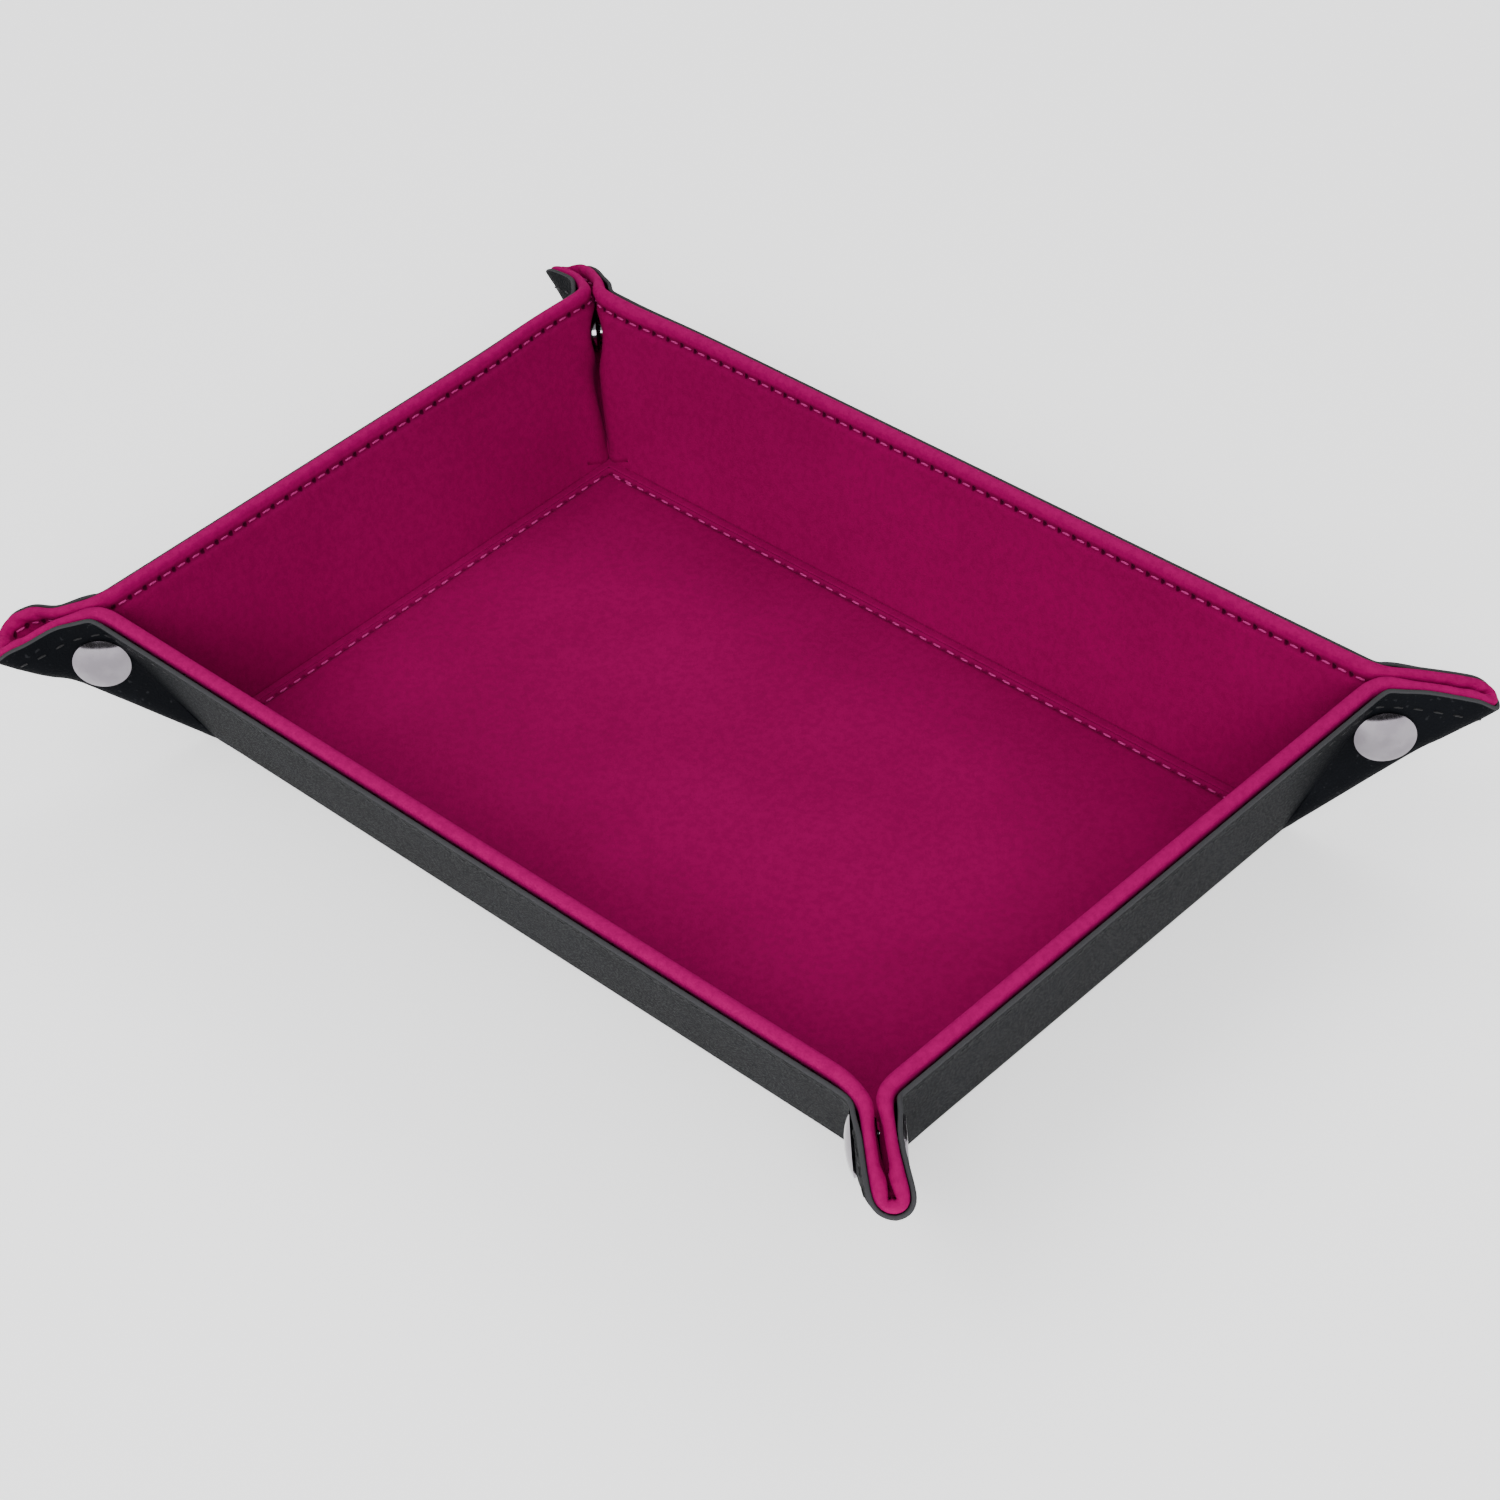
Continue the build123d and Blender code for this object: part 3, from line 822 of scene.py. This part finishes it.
# %% One stitch
THREAD_R, STITCH_PULL = 0.00024, 0.00075
bpy.ops.object.select_all(action="DESELECT")
bpy.ops.mesh.primitive_uv_sphere_add(segments=8, ring_count=6, radius=THREAD_R, location=(0, 0, 0))
stitch = bpy.context.object
stitch.name = "stitch"
for upper in (True, False):
    bpy.ops.object.mode_set(mode="EDIT")
    bpy.ops.mesh.select_all(action="DESELECT")
    bpy.ops.object.mode_set(mode="OBJECT")
    for vertex in stitch.data.vertices:
        vertex.select = (vertex.co.z > -1e-6) == upper and abs(vertex.co.z) > 1e-6
    bpy.ops.object.mode_set(mode="EDIT")
    bpy.ops.transform.translate(value=(0, 0, STITCH_PULL if upper else -STITCH_PULL))
    bpy.ops.object.mode_set(mode="OBJECT")
bpy.ops.object.shade_smooth()
print("stitch", len(stitch.data.polygons), "faces", [round(v / MM, 2) for v in stitch.dimensions])

# %% [markdown]
# A stitch sits where the fold function puts its two ends, so it follows the ears round.

# %% A row of stitches
PITCH = 4.0
STEPS = np.arange(-60, 61) * PITCH
sewn = {"pink": [], "black": []}


def sew(name, flat, way, layer, colour):
    """Copies the stitch to flat points, turned along way, and joins the copies to one piece."""
    flat, way = np.array(flat, float), np.array(way, float)
    centre = fold(flat, layer)
    along = fold(flat + way * 0.8, layer) - fold(flat - way * 0.8, layer)
    lift = fold(flat + [0, 0, 0.3]) - fold(flat - [0, 0, 0.3])
    bpy.ops.object.select_all(action="DESELECT")
    for at, z, y in zip(centre, along, lift):
        z = Vector(z).normalized()
        x = Vector(y).cross(z).normalized()
        turned = Matrix((x, z.cross(x), z)).transposed().to_4x4()
        copy = stitch.copy()
        copy.data = stitch.data.copy()
        copy.data.transform(Matrix.Translation(Vector(at) * MM) @ turned)
        bpy.context.scene.collection.objects.link(copy)
        copy.select_set(True)
        bpy.context.view_layer.objects.active = copy
    bpy.ops.object.join()
    row = bpy.context.object
    row.name = row.data.name = name
    sewn[colour].append(row)
    return row


print("stitches every", PITCH, "mm")

# %% [markdown]
# The rim's rows are cut at the same lines as the skins, so that each row of stitches ends where its piece
# ends. The last stitches stop short of the diagonal.

# %% The seam round the rim
ROW_KINDS = (("pink", "liner", STITCH_V, 1.98), ("black", "cover", 34.3, -2.0))
SHORT_OF_TIP = 1.5


def sew_wall(wall, colour, layer, v, h):
    half, way = half_length(wall), ALONG[WALLS[wall][0]]
    wall_end, ear_start = half + cut_a(v, -CUT_S), half + cut_a(v, CUT_S)
    u = STEPS[np.abs(STEPS) < wall_end]
    row = sew(f"{wall}_{colour}_stitches", wall_point(wall, u, v + 0 * u, h), way, layer, colour)
    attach(row, f"{wall}_wall")
    if colour == "pink":
        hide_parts(f"{wall}_rim_thread")
    for side in (1, -1):
        name = half_name(wall, side)
        u = side * STEPS[(STEPS >= wall_end) & (STEPS < ear_start)]
        row = sew(f"{name}_fold_{colour}_stitches", wall_point(wall, u, v + 0 * u, h), way, layer, colour)
        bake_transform(row)
        u = side * STEPS[(STEPS >= ear_start) & (STEPS < half + v - SHORT_OF_TIP)]
        row = sew(f"{name}_ear_{colour}_stitches", wall_point(wall, u, v + 0 * u, h), way, layer, colour)
        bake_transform(row)


for kind in ROW_KINDS:
    for wall in WALLS:
        sew_wall(wall, *kind)
print("rows round the rim", {k: len(v) for k, v in sewn.items()})

# %% [markdown]
# The floor's rectangle is one row of pink stitches. Near one corner, where the sewing ran past its
# own start, two more stitches lie beside the row.

# %% The rectangle on the floor
FLOOR_STITCH_H, OVERRUN_H = 1.86, 1.9
row_x, row_y = CREASE_X - BASE_ROW, CREASE_Y - BASE_ROW
flat, way = [], []
for sign in (1, -1):
    for u in STEPS:
        if abs(u) < row_x - 0.9:
            flat.append((u, sign * row_y, FLOOR_STITCH_H))
            way.append((1, 0, 0))
        if abs(u) < row_y - 0.9:
            flat.append((sign * row_x, u, FLOOR_STITCH_H))
            way.append((0, 1, 0))
flat += [(-row_x + 3.4, row_y - 0.5, OVERRUN_H), (-row_x + 7.2, row_y - 0.55, OVERRUN_H)]
way += [(1, -0.06, 0), (1, -0.03, 0)]
row = sew("floor_pink_stitches", flat, way, "plain", "pink")
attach(row, "base")
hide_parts("base_thread")
bpy.data.objects.remove(stitch)
print("rows", {k: len(v) for k, v in sewn.items()}, "stitches on the floor", len(flat))

# %% [markdown]
# ## Finishes
# The finishes are built from small node groups. A group gives only masks, colours and heights; the
# shader and its constant values stay in each material. `add` makes a node and wires it in one line.

# %% Small helpers for nodes
def add(tree, kind, feeds=(), **settings):
    """Adds a node. feeds maps its inputs, by name or number, to a socket or a value."""
    made_node = tree.nodes.new(kind)
    for key, value in settings.items():
        setattr(made_node, key, value)
    for key, value in dict(feeds).items():
        if isinstance(value, bpy.types.NodeSocket):
            tree.links.new(value, made_node.inputs[key])
        else:
            made_node.inputs[key].default_value = value
    return made_node


def maths(tree, operation, *values):
    return add(tree, "ShaderNodeMath", enumerate(values), operation=operation).outputs[0]


def part_of(tree, mask, amount):
    return maths(tree, "MULTIPLY", mask, amount)


def fade(tree, value, low, high, to_low=0.0, to_high=1.0):
    """Maps a value from one range to another, smoothly and clamped."""
    return add(tree, "ShaderNodeMapRange", {0: value, 1: low, 2: high, 3: to_low, 4: to_high},
               interpolation_type="SMOOTHSTEP").outputs[0]


def noise(tree, coords, scale, detail=2.0, rough=0.5):
    return add(tree, "ShaderNodeTexNoise", {"Vector": coords, "Scale": scale, "Detail": detail,
                                            "Roughness": rough}).outputs["Fac"]


def tint(tree, mask, low, high):
    """A colour between two, by a mask."""
    return add(tree, "ShaderNodeMix", {0: mask, 6: low, 7: high}, data_type="RGBA").outputs[2]


def group(name, inputs, outputs):
    """A node group whose inputs have starting values and whose outputs are all numbers."""
    tree = bpy.data.node_groups.new(name, "ShaderNodeTree")
    for title, value in inputs:
        tree.interface.new_socket(title, in_out="INPUT", socket_type="NodeSocketFloat").default_value = value
    for title in outputs:
        tree.interface.new_socket(title, in_out="OUTPUT", socket_type="NodeSocketFloat")
    return tree, tree.nodes.new("NodeGroupInput"), tree.nodes.new("NodeGroupOutput")


print("helpers ready, groups so far", len(bpy.data.node_groups))

# %% [markdown]
# The first group finds a point on the flat sheet. `Up` counts millimetres outward from the nearest crease.
# The rest are masks: `Groove` for the dent along a seam, where the velvet gets painted shade, `Hole` for the
# needle's holes, which the velvet paints as shadow, and a last mask for the velvet that rolls over the rim,
# which the velvet paints brighter as painted light.

# %% Group: where a point lies on the flat sheet
rows_group, _, rows_out = group("sheet rows", [], ("Up", "Groove", "Hole", "Painted rim light"))
sheet = partial(maths, rows_group)
flat_map = add(rows_group, "ShaderNodeUVMap", uv_map="flat").outputs[0]
spot = add(rows_group, "ShaderNodeSeparateXYZ", {0: flat_map})
flat_x, flat_y = (sheet("DIVIDE", sheet("SUBTRACT", spot.outputs[k], 0.5), UV_SIZE) for k in (0, 1))
out_x = sheet("SUBTRACT", sheet("ABSOLUTE", flat_x), CREASE_X)
out_y = sheet("SUBTRACT", sheet("ABSOLUTE", flat_y), CREASE_Y)
up = sheet("MAXIMUM", out_x, out_y)
on_long = sheet("GREATER_THAN", out_y, out_x)
along_long = sheet("MULTIPLY", on_long, flat_x)
along_short = sheet("MULTIPLY", sheet("SUBTRACT", 1.0, on_long), flat_y)
from_rim_row = sheet("ABSOLUTE", sheet("SUBTRACT", up, STITCH_V))
from_floor_row = sheet("ABSOLUTE", sheet("ADD", up, BASE_ROW))
aside = sheet("MINIMUM", from_rim_row, from_floor_row)
turns = sheet("DIVIDE", sheet("ADD", along_long, along_short), PITCH)
step = sheet("MULTIPLY", sheet("SUBTRACT", sheet("FRACT", turns), 0.5), PITCH)
away = sheet("SQRT", sheet("ADD", sheet("MULTIPLY", step, step), sheet("MULTIPLY", aside, aside)))
# The needle's holes: this mask darkens the velvet as painted shadow and sinks its relief, less on the floor
# than on the walls.
depth = fade(rows_group, up, -1.0, 1.0, 0.35, 0.85)
hole = part_of(rows_group, fade(rows_group, away, 0.30, 0.72, 1, 0), depth)
# The last of these masks marks the velvet rolled over the rim, where the velvet gets painted light.
for title, value in (("Up", up), ("Groove", fade(rows_group, aside, 0.2, 1.3, 1, 0)), ("Hole", hole),
                     ("Painted rim light", fade(rows_group, up, 36.2, 37.2))):
    rows_group.links.new(value, rows_out.inputs[title])
print("sheet rows", len(rows_group.nodes), "nodes")

# %% [markdown]
# The second group is handling: soft patches and a few specks, for the velvet, the leather and the
# nickel.

# %% Group: handling
wear_group, wear_in, wear_out = group("handling", [("Size", 40.0)], ("Patches", "Specks"))
here = add(wear_group, "ShaderNodeTexCoord").outputs["Object"]
patches = add(wear_group, "ShaderNodeTexNoise", {"Vector": here, "Scale": wear_in.outputs["Size"],
                                                 "Detail": 3.0}).outputs["Fac"]
specks = noise(wear_group, here, 900, 1.0)
wear_group.links.new(fade(wear_group, patches, 0.36, 0.66), wear_out.inputs["Patches"])
wear_group.links.new(fade(wear_group, specks, 0.66, 0.74), wear_out.inputs["Specks"])
print("groups", [g.name for g in bpy.data.node_groups])

# %% [markdown]
# Every finish starts alike: a material with its constants, then coordinates and handling where it
# needs them, and at the end a relief.

# %% Starting a finish
def new_finish(name, **constants):
    """A material with its shader's constant values set, ready for its textures."""
    material = bpy.data.materials.new(name)
    material.use_nodes = True
    shader = material.node_tree.nodes["Principled BSDF"]
    for key, value in constants.items():
        shader.inputs[key.replace("_", " ")].default_value = value
    return material, material.node_tree, shader


def own_coords(tree):
    return add(tree, "ShaderNodeTexCoord").outputs["Object"]


def handling(tree, size):
    return add(tree, "ShaderNodeGroup", {"Size": size}, node_tree=wear_group).outputs


def sheet_rows(tree):
    return add(tree, "ShaderNodeGroup", node_tree=rows_group).outputs


def relief(tree, shader, height, depth, strength):
    bump = add(tree, "ShaderNodeBump", {"Strength": strength, "Distance": depth, "Height": height})
    tree.links.new(bump.outputs[0], shader.inputs["Normal"])


print("materials so far", len(bpy.data.materials))

# %% [markdown]
# The velvet's colour has painted light and shade: it is painted brighter where it rolls over the rim, and
# painted shade darkens it along its creases and seams. The needle's holes are painted darker still, as
# shadow, and the pile has a fine fuzz with soft brushed patches.

# %% Velvet
VELVET_DARK, VELVET_LIT = (0.205, 0.0008, 0.056, 1), (0.230, 0.0009, 0.064, 1)
# The rim colour on the next line is painted light for the velvet rolled over the rim.
VELVET_SOFT, VELVET_RIM_PAINTED_LIGHT = (0.24, 0.0008, 0.070, 1), (0.33, 0.0006, 0.100, 1)
# The hole colour on the next line is painted shadow in the needle's holes.
VELVET_SHADE, VELVET_HOLE_SHADOW = (0.08, 0.0004, 0.022, 1), (0.016, 0.0003, 0.005, 1)
velvet, tree, shader = new_finish("velvet", Roughness=0.92, Sheen_Weight=0.06, Sheen_Roughness=0.38,
                                  Sheen_Tint=(1.0, 0.06, 0.45, 1), Specular_IOR_Level=0.02)
coords, wear, rows = own_coords(tree), handling(tree, 26.0), sheet_rows(tree)
fuzz, brushed = noise(tree, coords, 2600, 2.0, 0.7), noise(tree, coords, 620, 4.0, 0.7)
colour = tint(tree, wear["Patches"], VELVET_DARK, VELVET_LIT)
colour = tint(tree, part_of(tree, fade(tree, fuzz, 0.35, 0.7), 0.45), colour, VELVET_SOFT)
# Painted light: the velvet rolled over the rim is painted brighter.
colour = tint(tree, part_of(tree, rows["Painted rim light"], 0.8), colour, VELVET_RIM_PAINTED_LIGHT)
colour = tint(tree, part_of(tree, fade(tree, brushed, 0.35, 0.62, 1, 0), 0.20), colour, VELVET_SHADE)
# Painted shade along the creases: the velvet is darkened close to each crease.
from_crease = maths(tree, "ABSOLUTE", maths(tree, "ADD", rows["Up"], -0.3))
colour = tint(tree, fade(tree, from_crease, 0.15, 1.5, 0.75, 0), colour, VELVET_SHADE)
# Painted shade in the dent along each seam.
colour = tint(tree, part_of(tree, rows["Groove"], 0.35), colour, VELVET_SHADE)
# Painted shadow in the needle's holes.
colour = tint(tree, rows["Hole"], colour, VELVET_HOLE_SHADOW)
tree.links.new(colour, shader.inputs["Base Color"])
pile = maths(tree, "ADD", part_of(tree, fuzz, 0.16), part_of(tree, brushed, 0.22))
relief(tree, shader, maths(tree, "SUBTRACT", pile, rows["Hole"]), 0.0006, 0.8)
print("velvet", len(tree.nodes), "nodes")

# %% [markdown]
# The leather is a fine grained black, almost blue in the light. Its grain is two sizes of cells, and its
# turned edge gets a painted highlight, a paler line along the rim.

# %% Leather
LEATHER_DARK, LEATHER_LIT = (0.0042, 0.0046, 0.0057, 1), (0.0056, 0.0062, 0.0077, 1)
# The second colour on the next line is a painted highlight for the leather's turned edge.
LEATHER_SPECK, LEATHER_PAINTED_EDGE_HIGHLIGHT = (0.10, 0.10, 0.11, 1), (0.06, 0.06, 0.064, 1)
leather, tree, shader = new_finish("leather", Specular_IOR_Level=0.008)
coords, wear, rows = own_coords(tree), handling(tree, 55.0), sheet_rows(tree)
cells = add(tree, "ShaderNodeTexVoronoi", {"Vector": coords, "Scale": 1150.0},
            feature="DISTANCE_TO_EDGE").outputs["Distance"]
fine = add(tree, "ShaderNodeTexVoronoi", {"Vector": coords, "Scale": 2300.0}).outputs["Distance"]
grain = maths(tree, "ADD", fade(tree, cells, 0.0, 0.28), part_of(tree, fine, 0.35))
colour = tint(tree, wear["Patches"], LEATHER_DARK, LEATHER_LIT)
colour = tint(tree, part_of(tree, wear["Specks"], 0.10), colour, LEATHER_SPECK)
# Painted highlight along the leather's turned edge.
colour = tint(tree, part_of(tree, fade(tree, rows["Up"], 38.2, 38.45), 0.75), colour, LEATHER_PAINTED_EDGE_HIGHLIGHT)
tree.links.new(colour, shader.inputs["Base Color"])
rough = fade(tree, part_of(tree, grain, 0.8), 0.0, 1.0, 0.58, 0.42)
tree.links.new(rough, shader.inputs["Roughness"])
relief(tree, shader, grain, 0.00010, 0.55)
print("leather", len(tree.nodes), "nodes")

# %% [markdown]
# A thread is two plies twisted along each stitch: its colour has painted light on the crown of each ply and
# painted shade in the groove between them. The ends of a black stitch are paler, where it goes into the
# leather.

# %% Threads
THREAD_COLOURS = {"pink": ((0.36, 0.006, 0.135, 1), (0.52, 0.022, 0.225, 1)),
                  "black": ((0.0015, 0.0015, 0.002, 1), (0.006, 0.006, 0.007, 1))}
threads = {}
for name, (base, light) in THREAD_COLOURS.items():
    threads[name], tree, shader = new_finish(f"{name} thread", Roughness=0.65, Specular_IOR_Level=0.35)
    spot = add(tree, "ShaderNodeSeparateXYZ", {0: add(tree, "ShaderNodeUVMap", uv_map="UVMap").outputs[0]})
    twist = maths(tree, "ADD", part_of(tree, spot.outputs[0], 2.0), part_of(tree, spot.outputs[1], 4.0))
    ply = maths(tree, "ABSOLUTE", maths(tree, "SUBTRACT", maths(tree, "FRACT", twist), 0.5))
    ply = fade(tree, ply, 0.0, 0.35)
    # Painted light and shade along the twist: the crown of each ply lighter, the groove between plies darker.
    colour = tint(tree, ply, base, light)
    if name == "black":
        end = maths(tree, "ABSOLUTE", maths(tree, "SUBTRACT", spot.outputs[1], 0.5))
        colour = tint(tree, fade(tree, end, 0.42, 0.48), colour, (0.07, 0.05, 0.06, 1))
    tree.links.new(colour, shader.inputs["Base Color"])
    relief(tree, shader, ply, 0.00012, 0.8)
print("threads", list(threads))

# %% [markdown]
# The snaps are dark polished nickel with fine scratches that run one way.

# %% Nickel
NICKEL_DARK, NICKEL_LIT, NICKEL_SPECK = (0.22, 0.20, 0.225, 1), (0.27, 0.25, 0.275, 1), (0.12, 0.11, 0.12, 1)
nickel, tree, shader = new_finish("nickel", Metallic=1.0)
wear = handling(tree, 160.0)
stretched = add(tree, "ShaderNodeMapping", {"Vector": own_coords(tree), "Scale": (1, 9, 1),
                                            "Rotation": (0.3, 0.2, 0.6)}).outputs[0]
scratches = noise(tree, stretched, 700, 2.0)
colour = tint(tree, wear["Patches"], NICKEL_DARK, NICKEL_LIT)
colour = tint(tree, part_of(tree, wear["Specks"], 0.08), colour, NICKEL_SPECK)
tree.links.new(colour, shader.inputs["Base Color"])
tree.links.new(fade(tree, scratches, 0.3, 0.75, 0.07, 0.16), shader.inputs["Roughness"])
relief(tree, shader, scratches, 0.000006, 0.25)
print("nickel", len(tree.nodes), "nodes")

# %% [markdown]
# The boards are grey and fibrous, and the table is a pale surface that glows a little, so that it
# stays nearly white under soft light.

# %% Board and table
board, tree, shader = new_finish("greyboard", Roughness=0.9)
fibre = noise(tree, own_coords(tree), 1500, 3.0)
tree.links.new(tint(tree, fibre, (0.20, 0.18, 0.155, 1), (0.33, 0.30, 0.26, 1)), shader.inputs["Base Color"])
relief(tree, shader, fibre, 0.00005, 0.5)
table, tree, shader = new_finish("table", Roughness=0.75, Emission_Color=(1, 1, 1, 1), Emission_Strength=0.9,
                                 Base_Color=(0.93, 0.93, 0.935, 1))
print("materials", [m.name for m in bpy.data.materials])

# %% [markdown]
# Every piece gets its finish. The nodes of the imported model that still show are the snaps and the
# boards, and each is told by its name.

# %% Putting the finishes on
def dress(piece, material):
    piece.data.materials.clear()
    piece.data.materials.append(material)


def finish_of(name):
    by_word = {"snap": nickel, "board": board, "cover": leather, "thread": threads["pink"]}
    return next((material for word, material in by_word.items() if word in name), velvet)


dress(floor, table)
for layer, material in (("liner", velvet), ("cover", leather)):
    for piece in made[layer]:
        dress(piece, material)
for name, rows in sewn.items():
    for piece in rows:
        dress(piece, threads[name])
for name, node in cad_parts.items():
    dress(node, finish_of(name))
print("dressed", sum(len(v) for v in (*made.values(), *sewn.values())) + len(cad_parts), "pieces")
